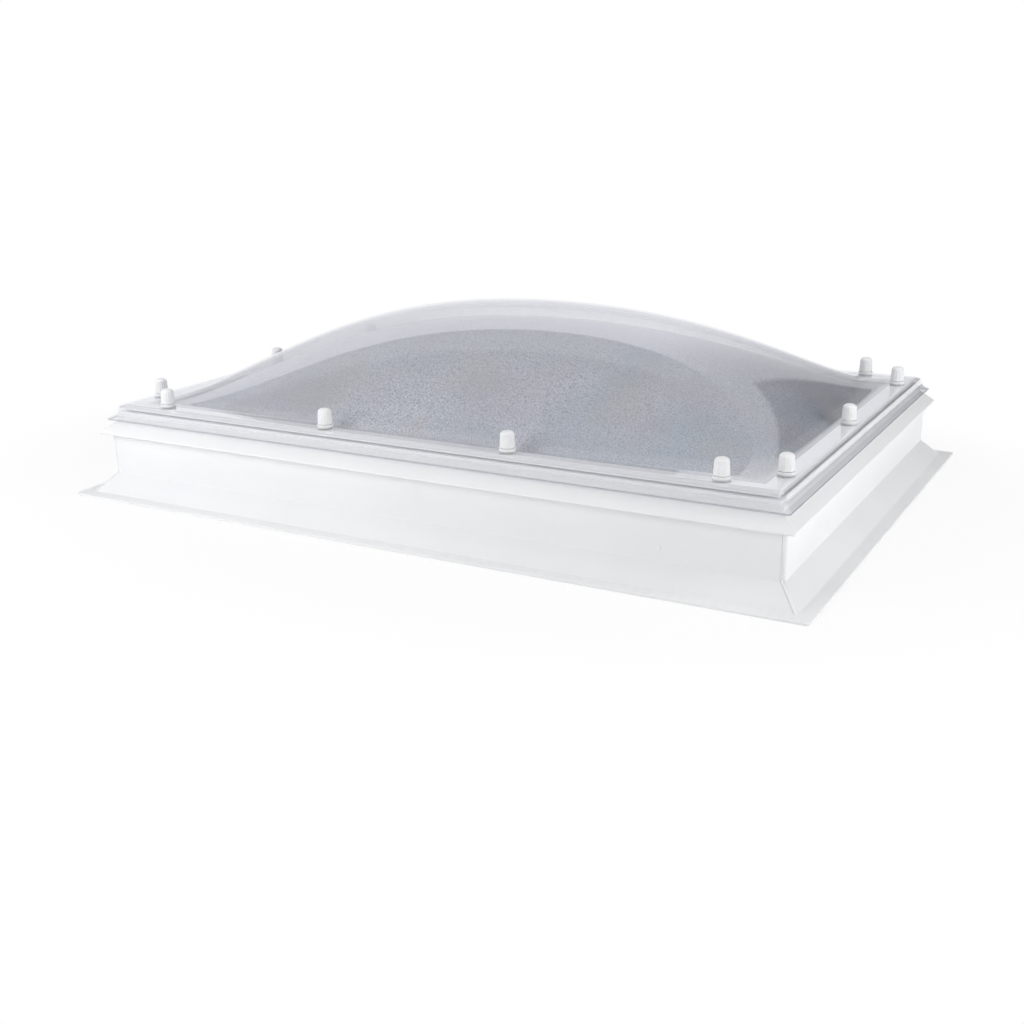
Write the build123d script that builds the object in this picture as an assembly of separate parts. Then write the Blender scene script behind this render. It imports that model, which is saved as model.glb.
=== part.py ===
from build123d import *
from math import asin, atan2, cos, hypot, sin, sqrt
import os

# Fixed double-skin rooflight: a welded hollow plastic kerb, two pillow-shaped sheets and capped screws.
# Millimetres, +Z up. The origin is the middle of the kerb's underside, on the roof deck.
# A reach is a distance outwards from the edge of the roof opening.

# Roof opening
opening_length = 1200
opening_width = 800

# Kerb section
kerb_height = 150
kerb_wall = 3
kerb_web = 1.5
wall_reach = 58
flare_height = 38
flare_run = 32
foot_ledge = 24
foot_thickness = 4
foot_corner_radius = 8
nose_run = 16
nose_drop = 33
nose_radius = 2.5
rim_drop = 9
rib_offset = 10
weld_width = 5
weld_height = 0.8

# Stack on top of the kerb, from the bottom up
seal_thickness = 5
seal_margin = 6
inner_sheet = 3
inner_flange_setback = 4
spacer_thickness = 9
spacer_margin = 8
spacer_clearance = 0.5
outer_sheet = 3

# Blown bulge of each sheet
outer_rise = 168
crown_gap = 32
fullness_share = 0.65

# Rim of the outer sheet
shoulder_margin = 4
shoulder_run = 9
shoulder_drop = 4
skirt_run = 15.5
skirt_height = 25
rim_corner_radius = 6
skirt_run_shares = (0, 0.16, 0.36, 0.63, 1)
skirt_drop_shares = (0, 0.33, 0.64, 0.85, 1)

# Fixings, spaced evenly along each side
long_side_count = 4
short_side_count = 3
fixing_reach = 22
long_side_end = 56
short_side_end = 44

# Screw, and the sleeve that carries its clamping load through the sheets
screw_radius = 2.8
screw_clearance = 0.3
screw_grip = 22
screw_point = 6
screw_head_radius = 6
screw_head_height = 3.5
sleeve_clearance = 0.6
sleeve_wall = 1.6
sheet_hole_clearance = 1.5

# Sealing washer, cap base with its collar, and the cap that pushes over the collar
washer_setback = 1
washer_thickness = 2
base_margin = 1.3
base_height = 4
base_floor = 3
base_chamfer = 0.8
head_clearance = 2.4
collar_wall = 1.8
collar_height = 6
cap_clearance = 0.3
cap_wall = 2.2
cap_draft = 1.3
cap_height = 28
cap_round = 6.5

# Push-in plug in the front wall
plug_offset = 462
plug_height = 60
plug_radius = 4.5
plug_head = 1
plug_stem_radius = 3
plug_stem_length = 8
plug_clearance = 0.3

# How far a cut runs past the face that it opens
overrun = 1

# Radii that the screw gives, from the middle of a fixing outwards
screw_hole_radius = screw_radius + screw_clearance
sleeve_bore = screw_radius + sleeve_clearance
sleeve_radius = sleeve_bore + sleeve_wall
sheet_hole_radius = sleeve_radius + sheet_hole_clearance
collar_bore = screw_head_radius + head_clearance
collar_radius = collar_bore + collar_wall
cap_bore = collar_radius + cap_clearance
cap_radius = cap_bore + cap_wall
cap_top_radius = cap_radius - cap_draft
base_radius = cap_radius + base_margin
washer_radius = base_radius - washer_setback

# Reaches: the flange has room for the cap bases, and its edge lines up with the rim of the kerb
shoulder_reach = fixing_reach + base_radius + shoulder_margin
edge_reach = shoulder_reach + shoulder_run
lip_reach = edge_reach + skirt_run
rim_reach = edge_reach
inner_flange_reach = rim_reach - inner_flange_setback
rib_reach = fixing_reach + rib_offset
nose_reach = wall_reach + nose_run
fold_reach = wall_reach + flare_run
foot_reach = fold_reach + foot_ledge

# Levels
nose_height = kerb_height - nose_drop
inner_flange_bottom = kerb_height + seal_thickness
inner_flange_top = inner_flange_bottom + inner_sheet
outer_flange_bottom = inner_flange_top + spacer_thickness
outer_flange_top = outer_flange_bottom + outer_sheet
edge_height = outer_flange_top - shoulder_drop
lip_height = edge_height - skirt_height
inner_rise = outer_rise + spacer_thickness - crown_gap

# Upright plane whose first axis points outwards from the front side and whose second points up
side_plane = Plane(origin=(0, 0, 0), x_dir=(0, -1, 0), z_dir=(-1, 0, 0))


def polygon(*points):
    return make_face(Polyline(*points, close=True))


def turned(*points):
    # Round piece from half of its section, given as radius and height.
    return revolve(Plane.XZ * polygon(*points), Axis.Z)


def mitred(section, run):
    # Section carried along one side of the opening, cut at 45 degrees at both ends.
    half = run / 2
    corner = half + foot_reach
    plan = polygon((-half, 0), (half, 0), (corner, -foot_reach), (-corner, -foot_reach))
    plan &= Pos(0, half) * RectangleRounded(2 * corner, 2 * corner, foot_corner_radius)
    return extrude(side_plane * section, corner, both=True) & extrude(plan, outer_flange_top)


def around(long_piece, short_piece):
    # The four sides of a frame, each placed at its edge of the opening.
    return {
        "front": Pos(0, -opening_width / 2) * long_piece,
        "back": Pos(0, opening_width / 2) * Rot(0, 0, 180) * long_piece,
        "left": Pos(-opening_length / 2, 0) * Rot(0, 0, -90) * short_piece,
        "right": Pos(opening_length / 2, 0) * Rot(0, 0, 90) * short_piece,
    }


# Places of the fixings
def spaced(run, end, count):
    pitch = (run - 2 * end) / (count - 1)
    return [end - run / 2 + number * pitch for number in range(count)]


fixings = []
for side in (-1, 1):
    for along in spaced(opening_length, long_side_end, long_side_count):
        fixings.append((along, side * (opening_width / 2 + fixing_reach)))
    for along in spaced(opening_width, short_side_end, short_side_count):
        fixings.append((side * (opening_length / 2 + fixing_reach), along))


def at_fixings(piece, height):
    return [Pos(x, y, height) * piece for x, y in fixings]


def drilled(piece, radius, bottom, top):
    drill = Cylinder(radius, top - bottom + 2 * overrun, align=(Align.CENTER, Align.CENTER, Align.MIN))
    return piece - at_fixings(drill, bottom - overrun)


# Kerb section: foot, flare, wall, drip nose and sloping rim.
# The slope of the rim runs into the round of the nose.
rim_foot = Vector(rim_reach, kerb_height - rim_drop)
nose_centre = Vector(nose_reach - nose_radius, nose_height)
nose_line = nose_centre - rim_foot
nose_pitch = atan2(-nose_line.Y, nose_line.X) - asin(nose_radius / nose_line.length)
nose_under = nose_centre - Vector(0, nose_radius)
nose_tip = nose_centre + Vector(nose_radius, 0)
nose_top = nose_centre + Vector(sin(nose_pitch), cos(nose_pitch)) * nose_radius

flank = [(fold_reach, foot_thickness), (wall_reach, flare_height), (wall_reach, nose_under.Y)]
kerb_line = Polyline((0, 0), (foot_reach, 0), (foot_reach, foot_thickness), *flank, nose_under)
kerb_line += ThreePointArc(nose_under, nose_tip, nose_top)
kerb_line += Polyline(nose_top, rim_foot, (rim_reach, kerb_height), (0, kerb_height), (0, 0))
kerb_section = make_face(kerb_line)

# Two columns of chambers, with cross webs level with the top of the flare and with the nose
chamber_rows = [
    (foot_thickness, flare_height - kerb_web, wall_reach - kerb_wall),
    (flare_height, nose_height - kerb_web, wall_reach - kerb_wall),
    (nose_height, kerb_height - kerb_wall, rim_reach - kerb_wall),
]
for bottom, top, outer in chamber_rows:
    for near, far in ((kerb_wall, rib_reach), (rib_reach + kerb_web, outer)):
        kerb_section -= polygon((near, bottom), (far, bottom), (far, top), (near, top))

# Three-cornered chamber behind the flare, one wall thickness inside its slope
flare_rise = flare_height - foot_thickness
flare_slant = hypot(flare_run, flare_rise)
flare_toe = fold_reach - kerb_wall * flare_slant / flare_rise
flare_crown = flare_height - kerb_wall * flare_slant / flare_run
kerb_section -= polygon((wall_reach, foot_thickness), (flare_toe, foot_thickness), (wall_reach, flare_crown))

# Raised weld that runs up the outside of each mitre
weld_section = polygon(*flank, *[(reach + weld_height, height) for reach, height in reversed(flank)])


def kerb_side(run):
    half = run / 2
    corner = half + foot_reach
    side = mitred(kerb_section, run)
    weld = mitred(weld_section, run)
    for end in (-1, 1):
        strip = polygon(
            (end * half, 0),
            (end * corner, -foot_reach),
            (end * (corner - weld_width), -foot_reach),
            (end * (half - weld_width), 0),
        )
        side += weld & extrude(strip, kerb_height)
    return side


kerb = {}
for side, piece in around(kerb_side(opening_length), kerb_side(opening_width)).items():
    kerb[side] = drilled(piece, screw_hole_radius, kerb_height - kerb_wall, kerb_height)

# Plug with a domed head on the front wall and a stem through it
plug_place = Pos(plug_offset, -(opening_width / 2 + wall_reach), plug_height) * Rot(90, 0, 0)
kerb["front"] -= plug_place * Cylinder(plug_stem_radius + plug_clearance, 2 * (kerb_wall + overrun))
plug_crown = (plug_radius**2 + plug_head**2) / (2 * plug_head)
plug_middle = (plug_radius / 2, sqrt(plug_crown**2 - plug_radius**2 / 4) - plug_crown + plug_head)
plug_line = Polyline(
    (0, plug_head),
    (0, -plug_stem_length),
    (plug_stem_radius, -plug_stem_length),
    (plug_stem_radius, 0),
    (plug_radius, 0),
)
plug_line += ThreePointArc((plug_radius, 0), plug_middle, (0, plug_head))
wall_plug = plug_place * revolve(Plane.XZ * make_face(plug_line), Axis.Z)


# Foam strips under and between the sheets
def strips(inner, outer, bottom, top):
    section = polygon((inner, bottom), (outer, bottom), (outer, top), (inner, top))
    sides = around(mitred(section, opening_length), mitred(section, opening_width))
    return {side: drilled(piece, sheet_hole_radius, bottom, top) for side, piece in sides.items()}


seals = strips(seal_margin, rim_reach - seal_margin, kerb_height, inner_flange_bottom)


# Bulge of a blown sheet: a patch of the fourth degree whose height is the product of two curves,
# each 1 - f u^2 - (1 - f) u^4 across its own span, where f is the fullness
def pillow(length, width, rise, base):
    weights = (0, 2 - fullness_share, 4 * fullness_share / 3, 2 - fullness_share, 0)
    spans = len(weights) - 1
    net = []
    for i, along in enumerate(weights):
        x = length * (i / spans - 1 / 2)
        row = []
        for j, across in enumerate(weights):
            y = width * (j / spans - 1 / 2)
            row.append((x, y, base + rise * along * across))
        net.append(row)
    crown = Face.make_bezier_surface(net)
    floor = make_face(crown.edges()).face()
    return Solid(Shell([crown, floor]))


def bulged(plate, rise, sheet, top):
    # Plate with the bulge added and hollowed. At the steep foot of the long sides the sheet lies aslant,
    # so the hollow starts inside the bulge by the sheet's level share.
    slope = rise * (4 - 2 * fullness_share) / (opening_width / 2)
    inset = sheet * slope / hypot(1, slope)
    bulge = pillow(opening_length, opening_width, rise, top)
    hollow = pillow(opening_length - 2 * inset, opening_width - 2 * inset, rise, top - sheet)
    return plate + bulge - hollow


def ring(reach, height):
    # Rounded rectangle that stands out from the opening by one reach on all sides.
    outline = RectangleRounded(opening_length + 2 * reach, opening_width + 2 * reach, rim_corner_radius)
    return Pos(0, 0, height) * outline


# Inner sheet, with a flat flange that lies between the strips
inner_plate = extrude(ring(inner_flange_reach, inner_flange_bottom), inner_sheet)
inner_dome = bulged(inner_plate, inner_rise, inner_sheet, inner_flange_top)
inner_dome = drilled(inner_dome, sheet_hole_radius, inner_flange_bottom, inner_flange_top)

# Outer sheet: a flat flange, a sloping shoulder, and a skirt that curves out to a lip
skirt_drop = skirt_height - outer_sheet
skirt_line = [
    (edge_reach + run_share * skirt_run, edge_height - drop_share * skirt_drop)
    for run_share, drop_share in zip(skirt_run_shares, skirt_drop_shares)
]
rim_line = [(shoulder_reach, outer_flange_top)] + skirt_line
outside = loft([ring(*point) for point in reversed(rim_line[:2])])
outside += loft([ring(*point) for point in reversed(skirt_line)])
outside += extrude(ring(lip_reach, lip_height), outer_sheet)


def moved_in(before, here, after):
    # Where a corner of the rim line goes when both its sides move in by one sheet.
    first = (Vector(here) - Vector(before)).normalized()
    second = (Vector(after) - Vector(here)).normalized()
    shift = (first + second) * (outer_sheet / (1 + first.dot(second)))
    return here[0] + shift.Y, here[1] - shift.X


# The same rim one sheet further in, carried past the trimmed edge of the lip
flange_start = (0, outer_flange_top)
lip_slope = (rim_line[-1][0] - rim_line[-2][0]) / (rim_line[-2][1] - rim_line[-1][1])
lip_depth = outer_sheet + overrun
past_lip = (lip_reach + lip_slope * lip_depth, lip_height - overrun)
hollow_line = [
    moved_in(before, here, after)
    for before, here, after in zip([flange_start] + rim_line, rim_line, rim_line[1:] + [past_lip])
]
trim_depth = hollow_line[-1][1] - lip_height + overrun
hollow_line.append((hollow_line[-1][0] + lip_slope * trim_depth, lip_height - overrun))
inside = loft([ring(*point) for point in reversed(hollow_line[:2])])
inside += loft([ring(*point) for point in reversed(hollow_line[1:])])

outer_dome = bulged(outside - inside, outer_rise, outer_sheet, outer_flange_top)
outer_dome = drilled(outer_dome, sheet_hole_radius, outer_flange_bottom, outer_flange_top)

# Spacers between the flanges, whose sharp corners clear the rounded corners of the hollow
corner_loss = rim_corner_radius * (1 - sqrt(1 / 2))
spacer_reach = hollow_line[0][0] - corner_loss - spacer_clearance
spacers = strips(spacer_margin, spacer_reach, inner_flange_top, outer_flange_bottom)

# Pieces of one fixing, each drawn on its own seat
sleeve_length = outer_flange_top - kerb_height
sleeve = turned(
    (sleeve_bore, 0),
    (sleeve_radius, 0),
    (sleeve_radius, sleeve_length),
    (sleeve_bore, sleeve_length),
)

washer = turned(
    (screw_hole_radius, 0),
    (washer_radius, 0),
    (washer_radius, washer_thickness),
    (screw_hole_radius, washer_thickness),
)

collar_top = base_height + collar_height
cap_base = turned(
    (screw_hole_radius, 0),
    (base_radius, 0),
    (base_radius, base_height - base_chamfer),
    (base_radius - base_chamfer, base_height),
    (collar_radius, base_height),
    (collar_radius, collar_top),
    (collar_bore, collar_top),
    (collar_bore, base_floor),
    (screw_hole_radius, base_floor),
)

base_seat = outer_flange_top + washer_thickness
head_seat = base_seat + base_floor
screw_length = head_seat - kerb_height + screw_grip
screw = turned(
    (0, -screw_length),
    (screw_radius, screw_point - screw_length),
    (screw_radius, 0),
    (screw_head_radius, 0),
    (screw_head_radius, screw_head_height),
    (0, screw_head_height),
)

cap = turned(
    (cap_bore, 0),
    (cap_radius, 0),
    (cap_top_radius, cap_height),
    (0, cap_height),
    (0, cap_height - cap_wall),
    (cap_top_radius - cap_round, cap_height - cap_wall),
    (cap_top_radius - cap_wall, cap_height - cap_round),
    (cap_bore, collar_height),
)
cap = fillet(cap.edges().group_by(Axis.Z)[-1], cap_round)

pieces = {
    "inner_dome": inner_dome,
    "outer_dome": outer_dome,
    "wall_plug": wall_plug,
    "sleeves": Compound(at_fixings(sleeve, kerb_height)),
    "sealing_washers": Compound(at_fixings(washer, outer_flange_top)),
    "cap_bases": Compound(at_fixings(cap_base, base_seat)),
    "screws": Compound(at_fixings(screw, head_seat)),
    "caps": Compound(at_fixings(cap, base_seat + base_height)),
}
for side in kerb:
    pieces["kerb_" + side] = kerb[side]
    pieces["kerb_seal_" + side] = seals[side]
    pieces["spacer_" + side] = spacers[side]

os.makedirs("parts", exist_ok=True)
for name, piece in pieces.items():
    export_step(piece, f"parts/{name}.step")
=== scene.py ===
import bpy
import bmesh
import math
import numpy as np
from mathutils import Matrix, Vector


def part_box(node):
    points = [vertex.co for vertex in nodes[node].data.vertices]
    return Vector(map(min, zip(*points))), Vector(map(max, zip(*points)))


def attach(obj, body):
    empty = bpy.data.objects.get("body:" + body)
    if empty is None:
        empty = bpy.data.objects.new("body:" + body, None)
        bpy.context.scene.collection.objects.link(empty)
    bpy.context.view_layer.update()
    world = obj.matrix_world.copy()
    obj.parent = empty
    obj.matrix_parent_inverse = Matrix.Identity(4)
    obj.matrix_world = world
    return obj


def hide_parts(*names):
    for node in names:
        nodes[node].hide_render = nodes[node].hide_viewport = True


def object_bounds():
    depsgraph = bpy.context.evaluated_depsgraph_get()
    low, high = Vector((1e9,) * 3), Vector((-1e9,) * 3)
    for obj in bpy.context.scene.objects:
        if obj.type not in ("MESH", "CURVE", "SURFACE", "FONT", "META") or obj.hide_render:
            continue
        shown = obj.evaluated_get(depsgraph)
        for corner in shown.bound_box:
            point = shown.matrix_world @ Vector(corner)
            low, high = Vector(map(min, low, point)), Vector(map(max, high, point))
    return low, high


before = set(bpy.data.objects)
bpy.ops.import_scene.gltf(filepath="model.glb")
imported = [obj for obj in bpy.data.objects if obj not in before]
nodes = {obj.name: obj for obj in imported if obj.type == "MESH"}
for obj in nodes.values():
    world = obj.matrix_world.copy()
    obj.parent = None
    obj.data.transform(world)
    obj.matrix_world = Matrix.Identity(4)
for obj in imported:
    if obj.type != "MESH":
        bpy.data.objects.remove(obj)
cadLow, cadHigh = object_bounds()   # the CAD box, before anything is dressed
scene = bpy.context.scene
mm = 0.001                      # the frame is in metres
degrees = 180 / math.pi         # in one radian
print("frame loaded,", len(nodes), "nodes")

# what the frame gives; a reach is a distance outwards from the edge of the roof opening
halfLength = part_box("kerb_right")[0].x
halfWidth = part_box("kerb_back")[0].y
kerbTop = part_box("kerb_right")[1].z
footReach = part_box("kerb_right")[1].x - halfLength
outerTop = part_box("sealing_washers")[0].z    # top of the outer sheet's flange


class Value:
    # one output socket; + - * / and ** on it add Math nodes
    def __init__(self, paint, socket):
        self.paint = paint
        self.socket = socket

    def math(self, operation, *others):
        inputs = dict(enumerate((self, *others)))
        return self.paint.node("ShaderNodeMath", {"operation": operation}, inputs)

    def swapped(self, operation, other):           # the other value comes first
        return self.paint.node("ShaderNodeMath", {"operation": operation}, {0: other, 1: self})

    def __add__(self, other): return self.math("ADD", other)
    def __radd__(self, other): return self.math("ADD", other)
    def __sub__(self, other): return self.math("SUBTRACT", other)
    def __rsub__(self, other): return self.swapped("SUBTRACT", other)
    def __mul__(self, other): return self.math("MULTIPLY", other)
    def __rmul__(self, other): return self.math("MULTIPLY", other)
    def __truediv__(self, other): return self.math("DIVIDE", other)
    def __pow__(self, other): return self.math("POWER", other)


class Paint:
    # a node tree being drawn; every node comes from node()
    def __init__(self, owner):
        owner.use_nodes = True
        self.owner = owner
        self.tree = owner.node_tree
        self.tree.nodes.clear()

    def node(self, kind, settings=None, inputs=None, out=0):
        made = self.tree.nodes.new(kind)
        for key, value in (settings or {}).items():
            setattr(made, key, value)
        for key, value in (inputs or {}).items():
            if isinstance(value, Value):
                self.tree.links.new(value.socket, made.inputs[key])
            else:
                made.inputs[key].default_value = value
        return Value(self, made.outputs[out]) if made.outputs else None

    def place(self, scale=1.0, source="Object"):   # coordinates, stretched by scale along each axis
        spot = self.node("ShaderNodeTexCoord", out=source)
        stretch = (scale,) * 3 if isinstance(scale, (int, float)) else scale
        return self.node("ShaderNodeMapping", None, {"Vector": spot, "Scale": stretch})

    def axis(self, name, spot=None):               # one coordinate of the place, or of another vector
        return self.node("ShaderNodeSeparateXYZ", None, {0: spot or self.place()}, out=name)

    def noise(self, scale, detail=3.0, rough=0.55, source="Object"):
        return self.node("ShaderNodeTexNoise", None, {
            "Vector": self.place(scale, source), "Scale": 1.0, "Detail": detail, "Roughness": rough})

    def cells(self, scale):                        # distance to the nearest of scattered points
        return self.node("ShaderNodeTexVoronoi", None, {"Vector": self.place(scale), "Scale": 1.0})

    def ease(self, value, low, high):              # 0 below low, 1 above high, smooth between
        return self.node("ShaderNodeMapRange", {"interpolation_type": "SMOOTHSTEP"},
                         {"Value": value, "From Min": low, "From Max": high})

    def stepAt(self, value, place, soft):          # 0 before place, 1 after it, smooth within soft of it
        return self.ease(value, place - soft, place + soft)

    def mixed(self, share, first, second):         # two colours
        return self.node("ShaderNodeMix", {"data_type": "RGBA"}, {0: share, 6: first, 7: second}, out=2)

    def layered(self, share, first, second):       # two shaders
        return self.node("ShaderNodeMixShader", None, {0: share, 1: first, 2: second})

    def bump(self, height, depth, strength=1.0):
        return self.node("ShaderNodeBump", None, {"Height": height, "Distance": depth, "Strength": strength})

    def finish(self, shader):
        self.node("ShaderNodeOutputMaterial", None, {"Surface": shader})
        return self.owner


def newPaint(name):
    # an empty material, ready to be drawn
    return Paint(bpy.data.materials.new(name))


def tone(red, green, blue):
    # an opaque colour
    return (red, green, blue, 1.0)


plainWhite = tone(1, 1, 1)


# finishes; a scale is in patches per metre, a range is where a pattern starts to show and where it is full,
# and a swing is how much it adds

kerbFinish = {
    "white": tone(0.86, 0.865, 0.875), "shade": tone(0.82, 0.828, 0.842), "dust": tone(0.76, 0.75, 0.73),
    "dieScale": (1.5, 900, 1), "dieLine": 0.03 * mm, "dieShare": 0.35,        # fine lines that the die leaves
    "mottleScale": 5.0, "mottleRange": (0.3, 0.7), "mottleShare": 0.65,
    "dustHeight": 14 * mm, "dustLow": 0.10, "dustSwing": 0.25, "speckScale": 260.0, "speckRange": (0.62, 0.78),
    "rough": 0.30, "roughSwing": 0.14, "dustRough": 0.08, "index": 1.5,
}


def kerbPaint():
    # extruded white plastic: die lines along the run, slow mottling, a little dust on the foot
    p, f = newPaint("kerbPlastic"), kerbFinish
    dieLines = p.noise(f["dieScale"], detail=2.0, source="UV")
    mottle = p.noise(f["mottleScale"], detail=4.0)
    foot = 1 - p.ease(p.axis("Z"), 0.0, f["dustHeight"])
    speck = p.ease(p.noise(f["speckScale"], detail=2.0), *f["speckRange"])
    shade = f["dieShare"] * dieLines + f["mottleShare"] * p.ease(mottle, *f["mottleRange"])
    colour = p.mixed(shade, f["white"], f["shade"])
    colour = p.mixed(foot * (f["dustLow"] + f["dustSwing"] * speck), colour, f["dust"])
    rough = f["rough"] + f["roughSwing"] * mottle * dieLines + f["dustRough"] * foot
    return p.finish(p.node("ShaderNodeBsdfPrincipled", None, {
        "Base Color": colour, "Roughness": rough, "IOR": f["index"], "Normal": p.bump(dieLines, f["dieLine"])}))


capFinish = {
    "white": tone(0.87, 0.875, 0.88), "shade": tone(0.81, 0.815, 0.83),
    "grainScale": 2400.0, "grainDepth": 0.03 * mm, "grainShare": 0.3,
    "cloudScale": 60.0, "cloudRange": (0.3, 0.7), "cloudShare": 0.7,
    "rough": 0.32, "roughSwing": 0.1, "index": 1.5,
}


def capPaint():
    # moulded white plastic with a fine spark-eroded grain
    p, f = newPaint("capPlastic"), capFinish
    grain = p.noise(f["grainScale"], detail=2.0)
    cloud = p.noise(f["cloudScale"])
    shade = f["grainShare"] * grain + f["cloudShare"] * p.ease(cloud, *f["cloudRange"])
    return p.finish(p.node("ShaderNodeBsdfPrincipled", None, {
        "Base Color": p.mixed(shade, f["white"], f["shade"]), "Roughness": f["rough"] + f["roughSwing"] * grain,
        "IOR": f["index"], "Normal": p.bump(grain, f["grainDepth"])}))


clearFinish = {
    "tint": tone(0.985, 0.987, 0.994), "index": 1.585, "rough": 0.012, "roughSwing": 0.02,
    # bend and the aslant shade: painted shade, a darker see-through colour at tight bends and where the bulge
    # is seen aslant
    "bend": tone(0.52, 0.53, 0.57), "aslantShade": 1.0, "aslantShadeRise": 6, "aslantShadeFall": 8,             # where it darkens
    "film": tone(0.88, 0.885, 0.91), "filmLow": 0.010, "filmSwing": 0.03, "filmPlain": 0.4,
    "cloudScale": 9.0, "speckScale": 700.0, "speckRange": (0.66, 0.76),
    "skirtFilm": 0.07, "flangeFilm": 0.08, "rimLow": 0.92, "rimSwing": 0.16,
    "bulgeRange": (2 * mm, 14 * mm), "skirtRange": (-6 * mm, -3 * mm),        # heights over the flange's top
}


def clearPaint():
    # polished clear sheet: see-through, with painted shade (a darker see-through colour) where it bends tightly
    # or the bulge is seen aslant, standing in for the dark lines and zones that the thick sheet's refraction
    # gives; mirroring on the outside only and more at a glancing angle, with a thin uneven film of dust that is
    # thicker on the flange and the skirt
    p, f = newPaint("clearSheet"), clearFinish
    cloud = p.noise(f["cloudScale"], detail=5.0, rough=0.6)
    speck = p.ease(p.noise(f["speckScale"], detail=1.0), *f["speckRange"])
    height = p.axis("Z") - outerTop
    bulge = p.ease(height, *f["bulgeRange"])
    skirt = 1 - p.ease(height, *f["skirtRange"])
    facing = p.node("ShaderNodeLayerWeight", None, {"Blend": 0.5}, out="Facing")
    # painted shade: the see-through colour darkens where the bulge is seen aslant
    aslantShade = f["aslantShade"] * bulge * facing ** f["aslantShadeRise"] * (1 - facing ** f["aslantShadeFall"])
    edge = p.node("ShaderNodeAttribute", {"attribute_name": "edge"}, out="Fac")
    plain = p.node("ShaderNodeBsdfTransparent", None, {"Color": f["tint"]})
    # painted shade at tight bends, which the edge attribute marks
    shadedBends = p.node("ShaderNodeBsdfTransparent", None, {"Color": f["bend"]})
    through = p.layered(edge.math("MAXIMUM", aslantShade), plain, shadedBends)
    rim = f["skirtFilm"] * skirt + f["flangeFilm"] * (1 - skirt) * (1 - bulge)
    film = f["filmLow"] + f["filmSwing"] * cloud * (f["filmPlain"] + speck)
    film = film + rim * (f["rimLow"] + f["rimSwing"] * cloud) * (1 - edge)
    dust = p.node("ShaderNodeBsdfDiffuse", None, {"Color": f["film"]})
    sheet = p.layered(film, through, dust)
    inside = p.node("ShaderNodeNewGeometry", out="Backfacing")
    skin = p.node("ShaderNodeFresnel", None, {"IOR": f["index"]})
    mirror = (1 - inside) * 2 * skin / (1 + skin)                 # both skins of the sheet mirror as one
    rough = f["rough"] + f["roughSwing"] * cloud
    gloss = p.node("ShaderNodeBsdfGlossy", None, {"Color": plainWhite, "Roughness": rough})
    return p.finish(p.layered(mirror, sheet, gloss))


stippleFinish = {
    # the dark grey is the stipple's own grey deepened by painted shade for the dark inside seen through the
    # sheet
    "shadedGrey": tone(0.33, 0.345, 0.39), "pale": tone(0.85, 0.87, 0.925), "greyRange": (0.36, 0.84),
    "dotScale": 460.0, "dotShare": 0.5, "grainScale": 368.0, "grainShare": 0.7,
    "tints": ((tone(0.38, 0.47, 0.56), 3.1, 0.42),                            # blue: colour, scale and share
              (tone(0.56, 0.47, 0.52), 4.3, 0.28),                            # pink
              (tone(0.58, 0.55, 0.44), 5.7, 0.22)),                           # straw
    "tintRange": (0.50, 0.68), "cloudScale": 4.0, "alpha": 0.84, "alphaSwing": 0.06,
    "flangeAlpha": 0.10, "flangeSoft": 0.5 * mm, "depth": 0.3 * mm, "grainBump": 0.5, "strength": 0.35,
    "rough": 0.26, "roughSwing": 0.1, "index": 1.49, "coat": 1.0, "coatRough": 0.08, "coatIndex": 1.6,
}


def stipplePaint():
    # translucent grey sheet with a pressed stipple and faint oily tints; its grey, on a nearly opaque sheet, is
    # partly painted shade for the dark inside seen blurred through it; the clamped flange is clear
    p, f = newPaint("stippledSheet"), stippleFinish
    dots = p.cells(f["dotScale"])
    grain = p.noise(f["grainScale"], detail=2.0, rough=0.7)
    cloud = p.noise(f["cloudScale"])
    shadedGrey = p.ease(dots * f["dotShare"] + grain * f["grainShare"], *f["greyRange"])
    colour = p.mixed(shadedGrey, f["pale"], f["shadedGrey"])
    for tint, scale, share in f["tints"]:
        patch = p.ease(p.noise(scale, detail=2.0), *f["tintRange"])
        colour = p.mixed(share * patch, colour, tint)
    outX = p.axis("X").math("ABSOLUTE") - halfLength
    outY = p.axis("Y").math("ABSOLUTE") - halfWidth
    flange = p.stepAt(outX.math("MAXIMUM", outY), 0.0, f["flangeSoft"])
    alpha = f["alpha"] + f["alphaSwing"] * (cloud - 0.5)
    return p.finish(p.node("ShaderNodeBsdfPrincipled", None, {
        "Base Color": colour, "Roughness": f["rough"] + f["roughSwing"] * grain, "IOR": f["index"],
        "Coat Weight": f["coat"], "Coat Roughness": f["coatRough"], "Coat IOR": f["coatIndex"],
        "Alpha": alpha * (1 - flange) + f["flangeAlpha"] * flange,
        "Normal": p.bump(dots + f["grainBump"] * grain, f["depth"], f["strength"])}))


foamFinish = {
    "seal": (tone(0.93, 0.93, 0.94), tone(0.88, 0.88, 0.895)),                # pale, then dark
    "spacer": (tone(0.95, 0.95, 0.96), tone(0.91, 0.91, 0.925)),
    "poreScale": 900.0, "poreRange": (0.15, 0.65), "poreDepth": 0.1 * mm,
    "cloudScale": 30.0, "cloudLow": 0.6, "cloudSwing": 0.4, "rough": 0.75, "roughSwing": 0.2,
}


def foamPaint(name, pale, dark):
    # closed-cell foam: small pores that darken and dent it
    p, f = newPaint(name), foamFinish
    pores = p.cells(f["poreScale"])
    cloud = p.noise(f["cloudScale"])
    share = p.ease(pores, *f["poreRange"]) * (f["cloudLow"] + f["cloudSwing"] * cloud)
    return p.finish(p.node("ShaderNodeBsdfPrincipled", None, {
        "Base Color": p.mixed(share, dark, pale), "Roughness": f["rough"] + f["roughSwing"] * cloud,
        "Normal": p.bump(pores, f["poreDepth"])}))


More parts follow.
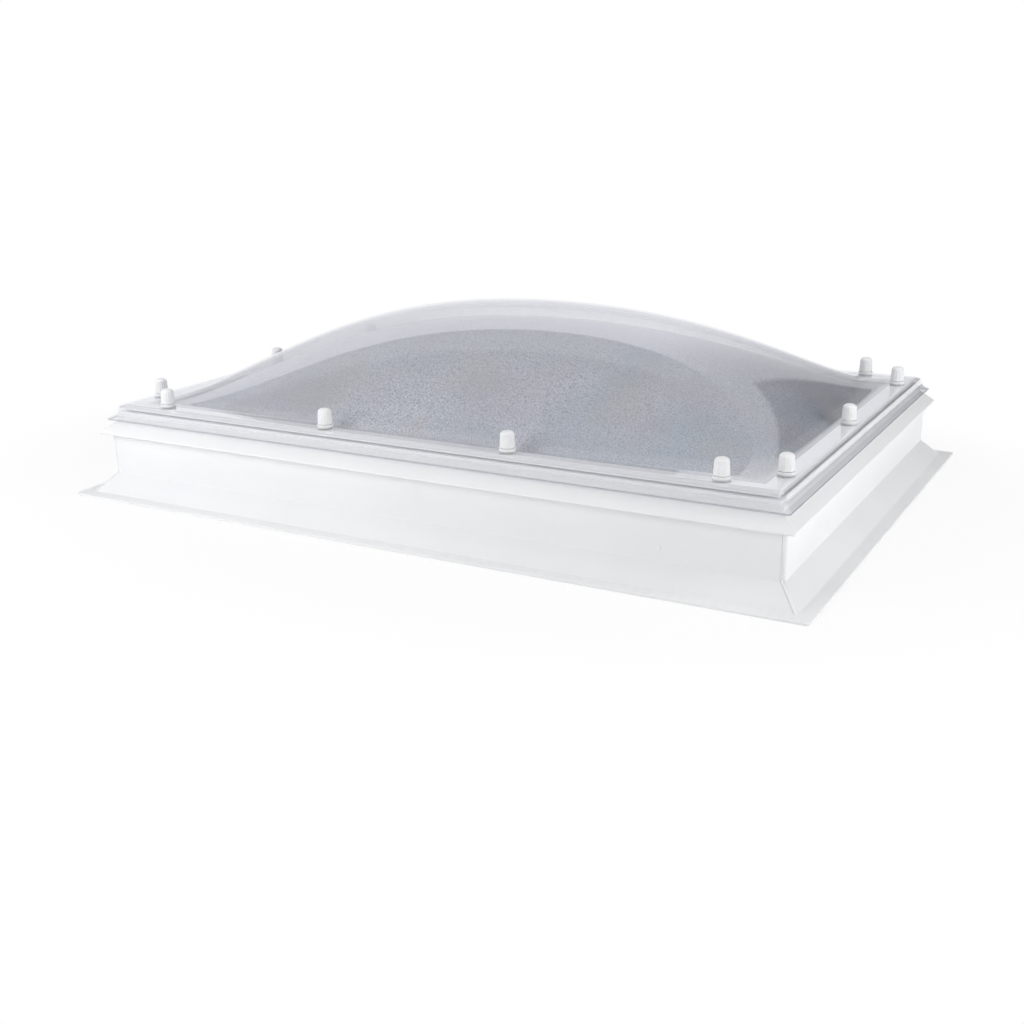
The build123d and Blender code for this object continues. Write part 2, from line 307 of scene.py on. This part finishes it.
steelFinish = {
    "dull": tone(0.50, 0.51, 0.53), "bright": tone(0.68, 0.68, 0.69),
    "markScale": (60, 60, 2600), "markDepth": 0.03 * mm, "rough": 0.24, "roughSwing": 0.2,
}


def steelPaint():
    # stainless screw steel with turning marks round each screw
    p, f = newPaint("screwSteel"), steelFinish
    marks = p.noise(f["markScale"], detail=2.0)
    return p.finish(p.node("ShaderNodeBsdfPrincipled", None, {
        "Base Color": p.mixed(marks, f["dull"], f["bright"]), "Metallic": 1.0,
        "Roughness": f["rough"] + f["roughSwing"] * marks, "Normal": p.bump(marks, f["markDepth"])}))


rubberFinish = {
    "washer": (tone(0.74, 0.74, 0.75), tone(0.62, 0.62, 0.64)),               # pale, then dark
    "sleeve": (tone(0.80, 0.79, 0.76), tone(0.70, 0.69, 0.66)),
    "grainScale": 1500.0, "grainDepth": 0.05 * mm, "bloomScale": 90.0, "bloomRange": (0.35, 0.7),
    "rough": 0.5, "roughSwing": 0.25,
}


def rubberPaint(name, pale, dark):
    # moulded rubber or nylon: a soft bloom and a fine grain
    p, f = newPaint(name), rubberFinish
    grain = p.noise(f["grainScale"])
    bloom = p.noise(f["bloomScale"])
    return p.finish(p.node("ShaderNodeBsdfPrincipled", None, {
        "Base Color": p.mixed(p.ease(bloom, *f["bloomRange"]), dark, pale),
        "Roughness": f["rough"] + f["roughSwing"] * bloom, "Normal": p.bump(grain, f["grainDepth"])}))


paints = {
    "kerb": kerbPaint(),
    "cap": capPaint(),
    "clear": clearPaint(),
    "stipple": stipplePaint(),
    "seal": foamPaint("sealFoam", *foamFinish["seal"]),
    "spacer": foamPaint("spacerFoam", *foamFinish["spacer"]),
    "steel": steelPaint(),
    "washer": rubberPaint("washerRubber", *rubberFinish["washer"]),
    "sleeve": rubberPaint("sleeveNylon", *rubberFinish["sleeve"]),
}
print("finishes mixed,", len(paints))


# helpers for shapes

mergeGap = 0.0005 * mm          # points nearer to each other than this become one


def rounded(corners, steps, closed=False):
    # line through corners (across, up, radius); each corner with a radius becomes an arc in that many steps,
    # which touches both its sides
    spots = np.array([c[:2] for c in corners], float)
    line = []
    for i, (_, _, radius) in enumerate(corners):
        here = spots[i]
        atEnd = not closed and i in (0, len(corners) - 1)
        if radius == 0 or atEnd:
            line.append(here[None])
            continue
        back, ahead = spots[i - 1] - here, spots[(i + 1) % len(spots)] - here
        back, ahead = back / np.linalg.norm(back), ahead / np.linalg.norm(ahead)
        half = math.acos(np.clip(back @ ahead, -1, 1)) / 2
        middle = (back + ahead) / np.linalg.norm(back + ahead)
        centre = here + middle * radius / math.sin(half)
        side = np.sign(back[0] * ahead[1] - back[1] * ahead[0])
        turn = side * np.linspace(half - math.pi / 2, math.pi / 2 - half, steps + 1)
        arm = -middle * radius
        line.append(centre + np.stack([arm[0] * np.cos(turn) + arm[1] * np.sin(turn),
                                       arm[1] * np.cos(turn) - arm[0] * np.sin(turn)], 1))
    return np.concatenate(line)


def travelled(line):
    # the distance along a line from its start to each of its points
    return np.concatenate([[0], np.cumsum(np.linalg.norm(np.diff(line, axis=0), axis=1))])


def divided(line, longest):
    # the same line with points added so that no stretch is longer than longest
    run = travelled(line)
    spots = np.union1d(run, np.arange(0, run[-1], longest))
    return np.stack([np.interp(spots, run, line[:, 0]), np.interp(spots, run, line[:, 1])], 1)


def offsetLine(line, depth):
    # line moved to its right by depth: each point goes along the sum of its two sides' normals, mitred
    step = np.diff(line, axis=0)
    normal = np.stack([step[:, 1], -step[:, 0]], 1) / np.linalg.norm(step, axis=1)[:, None]
    before = np.concatenate([normal[:1], normal])
    after = np.concatenate([normal, normal[-1:]])
    return line + depth * (before + after) / (1 + (before * after).sum(1))[:, None]


def gridFaces(rows, columns, start=0, wrapRows=False, wrapColumns=False):
    # quads between neighbours of a grid whose points are numbered row by row
    firstRows, firstColumns = np.arange(rows - (not wrapRows)), np.arange(columns - (not wrapColumns))
    r, c = np.meshgrid(firstRows, firstColumns, indexing="ij")
    r2, c2 = (r + 1) % rows, (c + 1) % columns
    quads = np.stack([r * columns + c, r2 * columns + c, r2 * columns + c2, r * columns + c2], -1)
    return start + quads.reshape(-1, 4)


def makePiece(name, points, faces, paint, replaced, crease, uv=None, edge=None):
    # a mesh whose doubles are merged and whose faces point outwards; a fold of more than crease degrees stays
    # sharp
    mesh = bpy.data.meshes.new(name)
    mesh.from_pydata(points.reshape(-1, 3).tolist(), [], faces)
    if uv is not None:
        corner = np.zeros(len(mesh.loops), np.int32)
        mesh.loops.foreach_get("vertex_index", corner)
        spread = uv.reshape(-1, 2)[corner].astype(np.float32)
        mesh.uv_layers.new(name="run").data.foreach_set("uv", spread.ravel())
    if edge is not None:
        bends = mesh.attributes.new("edge", "FLOAT", "POINT")
        bends.data.foreach_set("value", edge.astype(np.float32))
    shell = bmesh.new()
    shell.from_mesh(mesh)
    bmesh.ops.remove_doubles(shell, verts=shell.verts, dist=mergeGap)
    bmesh.ops.recalc_face_normals(shell, faces=shell.faces)
    shell.to_mesh(mesh)
    shell.free()
    mesh.shade_smooth()
    mesh.set_sharp_from_angle(angle=math.radians(crease))
    mesh.materials.append(paint)
    piece = bpy.data.objects.new(name, mesh)
    scene.collection.objects.link(piece)
    even = piece.modifiers.new("evenNormals", "WEIGHTED_NORMAL")   # flat faces stay flat beside small rounds
    even.keep_sharp = True
    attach(piece, "root")
    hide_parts(*replaced)
    print("made", name, len(mesh.polygons), "faces")


# the two blown sheets

blown = {
    "fullness": 0.65, "softness": 0.02, "margin": 8 * mm, "airGap": 0.2 * mm,
    "linesLong": 121, "linesWide": 97, "crowding": 0.88, "cornerRadius": 6 * mm, "cornerSteps": 6, "crease": 50,
    "tightBend": 1.2 * mm, "tightFrom": 0.3, "shortStep": 0.01 * mm, "shortRun": 0.1 * mm,
}


def crowded(count):
    # places from -1 to 1 that crowd towards both ends: 2 t + c sin(2 pi t) / pi, with t from -1/2 to 1/2
    t = np.linspace(-0.5, 0.5, count)
    return 2 * (t + blown["crowding"] * np.sin(2 * np.pi * t) / (2 * np.pi))


def blownCurve(across):
    # 1 - f a^2 - (1 - f) a^4 for a place a across the span, with a parabola easing its foot into the flat
    f, soft = blown["fullness"], blown["softness"]
    height = 1 - f * across**2 - (1 - f) * across**4
    foot = (height + soft)**2 / (4 * soft)
    return np.where(height > soft, height, np.where(height < -soft, 0.0, foot))


def roundPath():
    # the outline's points: shares of the half length and half width, and the direction that points outwards
    long, wide = crowded(blown["linesLong"]), crowded(blown["linesWide"])
    sides = [(long, 0 * long - 1), (0 * wide + 1, wide), (-long, 0 * long + 1), (0 * wide - 1, -wide)]
    quarter = np.linspace(0, math.pi / 2, blown["cornerSteps"] + 1)[1:-1]
    shareX, shareY, way = [], [], []
    for i, (a, b) in enumerate(sides):
        outwards = (i - 1) * math.pi / 2
        shareX += [a, np.full(len(quarter), a[-1])]
        shareY += [b, np.full(len(quarter), b[-1])]
        way += [np.full(len(a), outwards), outwards + quarter]
    return np.concatenate(shareX), np.concatenate(shareY), np.concatenate(way)


def tightness(line):
    # how tightly a line bends at each point, from 0 to 1: its turn over its length there, times the tight
    # radius, less the share of it that doesn't show
    b = blown
    step = np.diff(line, axis=0)
    length = np.maximum(np.linalg.norm(step, axis=1), b["shortStep"])
    turn = np.diff(np.unwrap(np.arctan2(step[:, 1], step[:, 0])))
    bend = np.abs(turn) / np.maximum(0.5 * (length[1:] + length[:-1]), b["shortRun"])
    return np.concatenate([[0], np.clip(bend * b["tightBend"] - b["tightFrom"], 0, 1), [0]])


def blownSheet(name, rise, top, sheet, rim, paint, replaced):
    # top bulge, rim line carried round the outline, and bottom bulge one sheet lower; a bulge's height is its
    # rise times the product of two curves, and the lower one is drawn in by what the slope at the foot takes
    margin = blown["margin"]
    x = (halfLength + margin) * crowded(blown["linesLong"])
    y = (halfWidth + margin) * crowded(blown["linesWide"])
    gridX, gridY = np.meshgrid(x, y, indexing="ij")
    slope = rise * (4 - 2 * blown["fullness"]) / halfWidth
    inset = sheet * slope / math.hypot(1, slope)
    skins = []
    for level, drawn in ((top, 0.0), (top - sheet, inset)):
        lift = rise * blownCurve(gridX / (halfLength - drawn)) * blownCurve(gridY / (halfWidth - drawn))
        skins.append(np.stack([gridX, gridY, level + lift], -1).reshape(-1, 3))
    shareX, shareY, way = roundPath()
    reach, height = rim[:, :1], rim[:, 1:]
    corner = np.clip(reach - margin, 0, blown["cornerRadius"])
    ringX = shareX * (halfLength + reach - corner) + corner * np.cos(way)
    ringY = shareY * (halfWidth + reach - corner) + corner * np.sin(way)
    ring = np.stack([ringX, ringY, height + 0 * ringX], -1).reshape(-1, 3)
    count = len(skins[0])
    faces = np.concatenate([gridFaces(len(x), len(y)), gridFaces(len(x), len(y), count)[:, ::-1],
                            gridFaces(len(rim), len(shareX), 2 * count, wrapColumns=True)])
    # edge marks tight bends, where the clear sheet's see-through colour gets painted shade
    edge = np.concatenate([np.zeros(2 * count), np.repeat(tightness(rim), len(shareX))])
    points = np.concatenate([*skins, ring])
    makePiece(name, points, faces.tolist(), paint, replaced, blown["crease"], edge=edge)


outerRim = {
    "shoulder": 40 * mm, "edge": 49 * mm, "drop": 4 * mm, "skirtSteps": 14, "skirtStraight": 0.45,
    "shoulderRound": 14 * mm, "edgeRound": 2.6 * mm, "lipRound": 0.9 * mm, "roundSteps": 5, "rowStep": 1.5 * mm,
}
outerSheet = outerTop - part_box("spacer_front")[1].z - blown["airGap"]   # the air keeps it off the spacers
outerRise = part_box("outer_dome")[1].z - outerTop
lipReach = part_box("outer_dome")[1].x - halfLength
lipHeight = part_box("outer_dome")[0].z


def outerRimLine():
    # flange, sloping shoulder, a skirt whose run is s d + (1 - s) d^5 for its drop d, and the trimmed lip; then
    # back one sheet inside
    r = outerRim
    edgeHeight = outerTop - r["drop"]
    drop = np.linspace(0, 1, r["skirtSteps"])[1:]
    run = r["skirtStraight"] * drop + (1 - r["skirtStraight"]) * drop**5
    across = r["edge"] + run * (lipReach - r["edge"])
    up = edgeHeight + drop * (lipHeight + outerSheet - edgeHeight)
    plain = [(blown["margin"], outerTop), (r["shoulder"], outerTop), (r["edge"], edgeHeight),
             *zip(across, up), (lipReach, lipHeight)]
    rounds = [0, r["shoulderRound"], r["edgeRound"]] + [0] * (len(drop) - 1) + [r["lipRound"], r["lipRound"]]
    inside = offsetLine(np.array(plain), outerSheet)[::-1]
    insideRounds = [r["lipRound"]] + [0] * len(drop) + [0, r["shoulderRound"], 0]
    corners = [(*spot, bend) for spot, bend in zip(plain, rounds)]
    corners += [(*spot, bend) for spot, bend in zip(inside, insideRounds)]
    return divided(rounded(corners, r["roundSteps"]), r["rowStep"])


blownSheet("outerDome", outerRise, outerTop, outerSheet, outerRimLine(), paints["clear"],
           ["outer_dome"])

innerRim = {"edgeRound": 0.8 * mm, "roundSteps": 4}
innerLow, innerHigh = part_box("inner_dome")
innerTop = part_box("spacer_front")[0].z - blown["airGap"]
innerBottom = innerLow.z + blown["airGap"]
innerSheet = innerTop - innerBottom
innerRise = innerHigh.z - innerTop


def innerRimLine():
    # a flat flange with a rounded edge, out along its top and back along its underside
    reach, bend = innerHigh.x - halfLength, innerRim["edgeRound"]
    return rounded([(blown["margin"], innerTop, 0), (reach, innerTop, bend), (reach, innerBottom, bend),
                    (blown["margin"], innerBottom, 0)], innerRim["roundSteps"])


blownSheet("innerDome", innerRise, innerTop, innerSheet, innerRimLine(), paints["stipple"],
           ["inner_dome"])


# kerb

kerb = {
    "wall": 58 * mm, "flareHeight": 38 * mm, "ledge": 24 * mm, "footThick": 4 * mm, "footCorner": 8 * mm,
    "noseRadius": 2.5 * mm, "noseUnder": 114.5 * mm, "rim": 49 * mm, "rimFoot": 141 * mm,
    "rimSlope": math.radians(42.5), "edgeRound": 1.2 * mm, "underShare": 0.6, "bendRound": 4 * mm,
    "roundSteps": 6, "footSteps": 7, "runSteps": 6, "nearWall": 0.1 * mm, "crease": 28,
}
weld = {
    "width": 5 * mm, "height": 1.0 * mm, "fullness": 8, "bevel": 1.7 * mm,
    "groove": 1.4 * mm, "groovePlace": 1.1, "grooveWidth": 0.07, "pit": 2.4 * mm, "pitSize": 3.2 * mm,
    "gaps": (0, 0.12, 0.25, 0.4, 0.55, 0.7, 0.82, 0.9, 0.95, 1.0, 1.04, 1.1, 1.16, 1.24, 1.36, 1.6, 2.2),
}


def kerbLine():
    # closed section, as (reach, height): foot, flare, wall, drip nose, sloping rim and top
    k = kerb
    noseCorner = k["rim"] + (k["rimFoot"] - k["noseUnder"]) / math.tan(k["rimSlope"])
    edge, bend = k["edgeRound"], k["bendRound"]
    fold, plate = footReach - k["ledge"], footReach - k["footCorner"]
    corners = [(0.0, 0.0, edge), (plate, 0.0, 0.0), (footReach, 0.0, edge * k["underShare"]),
               (footReach, k["footThick"], edge), (plate, k["footThick"], 0.0), (fold, k["footThick"], bend),
               (k["wall"], k["flareHeight"], bend), (k["wall"], k["noseUnder"], edge),
               (noseCorner, k["noseUnder"], k["noseRadius"]), (k["rim"], k["rimFoot"], edge),
               (k["rim"], kerbTop, edge), (0.0, kerbTop, edge)]
    return rounded(corners, k["roundSteps"], closed=True)


def weldSwell(gap):
    # half of a trimmed weld at a share q of its width from the mitre: h sqrt(1 - q^n) less a bevel b (1 - q),
    # with a groove beside it
    share = gap / weld["width"]
    bead = weld["height"] * np.sqrt(np.clip(1 - share**weld["fullness"], 0, 1))
    bead = bead - weld["bevel"] * np.clip(1 - share, 0, 1)
    return bead - weld["groove"] * np.exp(-((share - weld["groovePlace"]) / weld["grooveWidth"])**2)


def mirrored(half, sign):
    # a grid of columns from the middle of a side to its end, put behind its own mirror image
    return np.concatenate([sign * half[:, :0:-1], half], 1)


def kerbSide(name, half, placed, replaced):
    # the section carried along one side to a mitre at each end; the foot's corner is an arc about its own
    # centre, cut at the mitre, and near the mitre the flank swells into half of a weld bead with a small pit at
    # the top of the flare
    k = kerb
    line = kerbLine()
    reach, height = line[:, :1], line[:, 1:]
    corner = np.clip(reach - (footReach - k["footCorner"]), 0, k["footCorner"])
    way = np.roll(line, -1, 0) - np.roll(line, 1, 0)
    normal = np.stack([way[:, 1], -way[:, 0]], 1) / np.linalg.norm(way, axis=1)[:, None]
    flank = (reach < footReach - k["ledge"]) & (reach > k["wall"] - k["nearWall"])
    flank = flank & (height > k["footThick"]) & (height < k["noseUnder"] - k["edgeRound"])
    turn = np.linspace(0, math.pi / 4, k["footSteps"])[1:]
    gap = weld["width"] * np.array(weld["gaps"])
    middle = np.linspace(0, 1, k["runSteps"])[:-1]
    gaps = np.concatenate([gap, 0 * turn])              # from the mitre inwards, then the arc's own columns
    kink = ((height - k["flareHeight"])**2 + (reach - k["wall"])**2 + gaps**2) / weld["pitSize"]**2
    swell = flank * (weldSwell(gaps) - weld["pit"] * np.exp(-kink))
    out, up = reach + swell * normal[:, :1], height + swell * normal[:, 1:]
    straight = half + out - corner
    edge = straight[:, :len(gap)] - gap
    arc = straight[:, len(gap):] + corner * np.sin(turn)
    arcOut = out[:, len(gap):] - corner * (1 - np.cos(turn))
    centre = middle * edge[:, -1:]
    flat = 0 * centre
    along = mirrored(np.concatenate([centre, edge[:, ::-1], arc], 1), -1)
    across = mirrored(np.concatenate([reach + flat, out[:, :len(gap)][:, ::-1], arcOut], 1), 1)
    level = mirrored(np.concatenate([height + flat, up[:, :len(gap)][:, ::-1], up[:, len(gap):]], 1), 1)
    rows, columns = along.shape
    uv = np.stack([along, travelled(line)[:, None] + 0 * along], -1)
    end = np.arange(rows) * columns
    faces = gridFaces(rows, columns, wrapRows=True).tolist()
    faces += [end.tolist(), (end + columns - 1)[::-1].tolist()]
    points = placed(along, across, level)
    makePiece(name, points, faces, paints["kerb"], replaced, k["crease"], uv=uv)


kerbSides = {                   # half the side's length, and where (along, reach, height) lies in the frame
    "Front": (halfLength, lambda a, r, h: np.stack([a, -(halfWidth + r), h], -1)),
    "Back": (halfLength, lambda a, r, h: np.stack([-a, halfWidth + r, h], -1)),
    "Left": (halfWidth, lambda a, r, h: np.stack([-(halfLength + r), -a, h], -1)),
    "Right": (halfWidth, lambda a, r, h: np.stack([halfLength + r, a, h], -1)),
}
for side, (half, placed) in kerbSides.items():
    kerbSide("kerb" + side, half, placed, ["kerb_" + side.lower()])


# caps and their bases

fixing = {
    "reach": 22 * mm, "longEnd": 56 * mm, "shortEnd": 44 * mm, "longCount": 4, "shortCount": 3, "crease": 35,
}


def fixingSpots():
    # evenly spaced along each side, the same distance outside the opening
    f = fixing
    long = np.linspace(f["longEnd"] - halfLength, halfLength - f["longEnd"], f["longCount"])
    short = np.linspace(f["shortEnd"] - halfWidth, halfWidth - f["shortEnd"], f["shortCount"])
    outY, outX = halfWidth + f["reach"], halfLength + f["reach"]
    spots = [np.stack([long, 0 * long + side * outY], 1) for side in (-1, 1)]
    spots += [np.stack([0 * short + side * outX, short], 1) for side in (-1, 1)]
    return np.concatenate(spots)


def turnedGroup(name, line, around, paint, replaced, flutes=None):
    # line (radius, height) turned about each fixing; where there are flutes, the outside's radius dips between
    # two heights by depth (1 - cos(n t)) / 2 for a turn t
    turn = np.linspace(0, 2 * math.pi, around, endpoint=False)
    radius, height = line[:, :1], line[:, 1:]
    wave = radius + 0 * turn
    if flutes:
        lane = np.clip((height - flutes["low"]) / flutes["fade"], 0, 1)
        lane = lane * np.clip((flutes["high"] - height) / flutes["fade"], 0, 1)
        outside = np.arange(len(line))[:, None] < np.argmin(line[:, 1])      # points before the lowest one
        wave = wave - lane * outside * flutes["depth"] * (1 - np.cos(flutes["count"] * turn)) / 2
    shape = np.stack([wave * np.cos(turn), wave * np.sin(turn), height + 0 * wave], -1).reshape(-1, 3)
    spots = fixingSpots()
    lift = np.concatenate([spots, 0 * spots[:, :1]], 1)
    points = lift[:, None] + shape[None]
    quads = gridFaces(len(line), around, wrapColumns=True)
    faces = np.concatenate([quads + i * len(shape) for i in range(len(spots))])
    makePiece(name, points, faces.tolist(), paint, replaced, fixing["crease"])


capLow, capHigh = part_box("caps")
capShape = {
    "radius": 12.7 * mm, "topRadius": 11.4 * mm, "bore": 10.5 * mm, "wall": 2.2 * mm, "topRound": 6.5 * mm,
    "skirt": 6 * mm, "edge": 0.5 * mm, "boreEdge": 0.2 * mm, "crown": 0.7 * mm, "lift": 0.9 * mm,
    "around": 108, "roundSteps": 8, "step": 2.5 * mm,
}
capFlutes = {"count": 18, "depth": 0.55 * mm, "fade": 2 * mm,
             "low": capLow.z + 2.5 * mm, "high": capHigh.z - 4.5 * mm}


def capLine():
    # a thimble, from the middle of its top down the outside and up the bore to the middle of its underside
    c = capShape
    low, high = capLow.z + c["lift"], capHigh.z
    under = high - c["wall"]
    line = rounded([(0, high, 0), (c["topRadius"], high - c["crown"], c["topRound"]),
                    (c["radius"], low, c["edge"]), (c["bore"], low, c["boreEdge"]),
                    (c["bore"], low + c["skirt"], 0),
                    (c["topRadius"] - c["wall"], high - c["topRound"], 0),
                    (c["topRadius"] - c["topRound"], under, 0), (0, under, 0)], c["roundSteps"])
    return divided(line, c["step"])


turnedGroup("caps", capLine(), capShape["around"], paints["cap"], ["caps"], capFlutes)

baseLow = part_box("cap_bases")[0]
baseShape = {
    "radius": 14 * mm, "height": 4 * mm, "collar": 10.2 * mm, "collarTop": 10 * mm, "collarBore": 8.4 * mm,
    "floor": 3 * mm, "bore": 3.1 * mm, "groove": 0.5 * mm, "grooveHeight": 1.6 * mm, "shoulder": 0.7 * mm,
    "floorRound": 0.4 * mm, "collarRound": 0.5 * mm, "edge": 0.3 * mm, "around": 64, "roundSteps": 5,
}


def baseLine():
    # stepped disc with a small groove round its rim and the collar that the cap grips
    b, low = baseShape, baseLow.z
    heights = (low + b[key] for key in ("floor", "collarTop", "height", "grooveHeight"))
    floor, collarTop, top, groove = heights
    out = b["radius"]
    return rounded([(b["bore"], floor, 0), (b["collarBore"], floor, b["floorRound"]),
                    (b["collarBore"], collarTop, b["edge"]), (b["collar"], collarTop, b["collarRound"]),
                    (b["collar"], top, b["edge"]), (out, top, b["shoulder"]), (out, groove + b["groove"], 0),
                    (out - b["groove"], groove, 0), (out, groove - b["groove"], 0), (out, low, b["edge"]),
                    (b["bore"], low, 0), (b["bore"], floor, 0)], b["roundSteps"])


turnedGroup("capBases", baseLine(), baseShape["around"], paints["cap"], ["cap_bases"])


# CAD nodes that keep their shape

kept = {"wall_plug": "cap", "screws": "steel", "sleeves": "sleeve", "sealing_washers": "washer"}
for side in ("front", "back", "left", "right"):
    kept["kerb_seal_" + side] = "seal"
    kept["spacer_" + side] = "spacer"
for name, finish in kept.items():
    nodes[name].data.materials.clear()
    nodes[name].data.materials.append(paints[finish])
print("kept", len(kept), "CAD nodes")


# studio

studio = {
    "white": 1.0, "fill": 0.23,                                   # what the camera sees, what lights the object
    "wall": 1.0, "ceiling": 0.43, "door": 0.12, "gloss": tone(0.945, 0.95, 1.0),          # what gloss sees
    "wallTop": 36.5, "doorTop": 27.0, "doorLeft": 0.3, "doorRight": 60.0, "edge": 0.8,    # in degrees
    "shade": 0.5, "shadeRange": (-20.0, 2.0),                     # the wall darkens towards the right
    "paper": tone(0.9, 0.9, 0.9), "floorSize": 14.0, "floorDrop": 0.3 * mm, "floorLit": 0.16, "floorGloss": 0.8,
    "shadowStretch": 1.4, "shadowRange": (0.6, 0.95),             # the shadow shows inside this oval
    "skinCrossings": 24,                                          # a ray through both sheets meets many skins
}


def seenRays(p):
    # 1 for what the camera sees, directly or through something clear, and 0 for other rays
    rays = [p.node("ShaderNodeLightPath", out=kind) for kind in ("Is Camera Ray", "Is Transmission Ray")]
    return rays[0].math("MAXIMUM", rays[1])


def studioWorld():
    # the camera sees white; the object is lit evenly; gloss sees a room with pale walls, a grey ceiling and a
    # dark doorway, laid out by climb above the horizon and bearing from the back towards the right
    world = bpy.data.worlds.new("studio")
    scene.world = world
    p, s = Paint(world), studio
    seen = seenRays(p)
    glossy = p.node("ShaderNodeLightPath", out="Is Glossy Ray") * (1 - seen)
    way = p.node("ShaderNodeTexCoord", out="Generated")
    climb = p.axis("Z", way).math("ARCSINE") * degrees
    bearing = p.axis("X", way).math("ARCTAN2", p.axis("Y", way)) * degrees
    ceiling = p.stepAt(climb, s["wallTop"], s["edge"])
    door = 1 - p.stepAt(climb, s["doorTop"], s["edge"])
    door = door * p.stepAt(bearing, s["doorLeft"], s["edge"])
    door = door * (1 - p.stepAt(bearing, s["doorRight"], s["edge"]))
    wall = s["wall"] * (1 - s["shade"] * p.ease(bearing, *s["shadeRange"]))
    room = wall * (1 - ceiling) * (1 - door) + s["ceiling"] * ceiling + s["door"] * door
    level = seen * s["white"] + (1 - seen) * (glossy * room + (1 - glossy) * s["fill"])
    colour = p.mixed(glossy, plainWhite, s["gloss"])
    light = p.node("ShaderNodeBackground", None, {"Color": colour, "Strength": level})
    p.node("ShaderNodeOutputWorld", None, {"Surface": light})


def studioFloor():
    # pale floor; to the camera, and nearly so to gloss, it is white, with the shadow kept near the object
    s = studio
    half, low = s["floorSize"] / 2, cadLow.z - s["floorDrop"]
    corners = [(-half, -half, low), (half, -half, low), (half, half, low), (-half, half, low)]
    mesh = bpy.data.meshes.new("floor")
    mesh.from_pydata(corners, [], [(0, 1, 2, 3)])
    floor = bpy.data.objects.new("floor", mesh)
    scene.collection.objects.link(floor)
    p = newPaint("floorPaper")
    glossy = p.node("ShaderNodeLightPath", out="Is Glossy Ray")
    oval = p.place((1 / s["shadowStretch"], 1, 0))
    away = p.node("ShaderNodeVectorMath", {"operation": "LENGTH"}, {0: oval}, out="Value")
    near = 1 - p.ease(away, *s["shadowRange"])
    paper = p.node("ShaderNodeBsdfDiffuse", None, {"Color": s["paper"]})
    white = p.node("ShaderNodeEmission", None, {"Color": plainWhite, "Strength": s["white"]})
    share = 1 - seenRays(p).math("MAXIMUM", s["floorGloss"] * glossy) * (1 - s["floorLit"] * near)
    mesh.materials.append(p.finish(p.layered(share, white, paper)))


lamps = {
    "rightSoftbox": {"spot": (2.8, -0.4, 1.0), "size": 1.3, "watts": 39},
    "leftSoftbox": {"spot": (-1.55, -2.5, 1.3), "size": 2.0, "watts": 55},
    "topSoftbox": {"spot": (-0.2, 0.0, 3.2), "size": 3.0, "watts": 37},
}


def studioLamps():
    # square soft lamps that face the middle of the object; gloss doesn't show them
    aim = Vector((0, 0, (cadLow.z + cadHigh.z) / 2))
    for name, lamp in lamps.items():
        data = bpy.data.lights.new(name, "AREA")
        data.size = lamp["size"]
        data.energy = lamp["watts"]
        box = bpy.data.objects.new(name, data)
        box.location = lamp["spot"]
        box.rotation_euler = (aim - Vector(lamp["spot"])).to_track_quat("-Z", "Y").to_euler()
        box.visible_glossy = False
        scene.collection.objects.link(box)


studioWorld()
studioFloor()
studioLamps()
scene.cycles.transparent_max_bounces = studio["skinCrossings"]
scene.view_settings.view_transform = "Standard"


# camera, fitted to the photograph's corners and caps

cameraFit = {
    "pixels": 1024, "focal": 1291.04, "sensor": 36.0,             # the focal length in pixels, the sensor in mm
    "azimuth": 28.98, "elevation": 17.79, "roll": -0.76,          # degrees
    "distance": 2.56964, "slideX": -0.03882, "slideY": -0.07669,  # metres
}


def fittedCamera():
    # looks from azimuth and elevation, rolled, then slid sideways and up in its own picture plane
    c = cameraFit
    a, e, roll = (math.radians(c[key]) for key in ("azimuth", "elevation", "roll"))
    back = Vector((math.sin(a) * math.cos(e), -math.cos(a) * math.cos(e), math.sin(e)))
    flat = Vector((math.cos(a), math.sin(a), 0))
    rise = back.cross(flat)
    right = math.cos(roll) * flat + math.sin(roll) * rise
    up = math.cos(roll) * rise - math.sin(roll) * flat
    data = bpy.data.cameras.new("camera")
    data.sensor_width = c["sensor"]
    data.lens = c["focal"] / c["pixels"] * c["sensor"]
    camera = bpy.data.objects.new("camera", data)
    spot = back * c["distance"] + right * c["slideX"] + up * c["slideY"]
    camera.matrix_world = Matrix.Translation(spot) @ Matrix((right, up, back)).transposed().to_4x4()
    scene.collection.objects.link(camera)
    scene.camera = camera


fittedCamera()
print("studio and camera set")
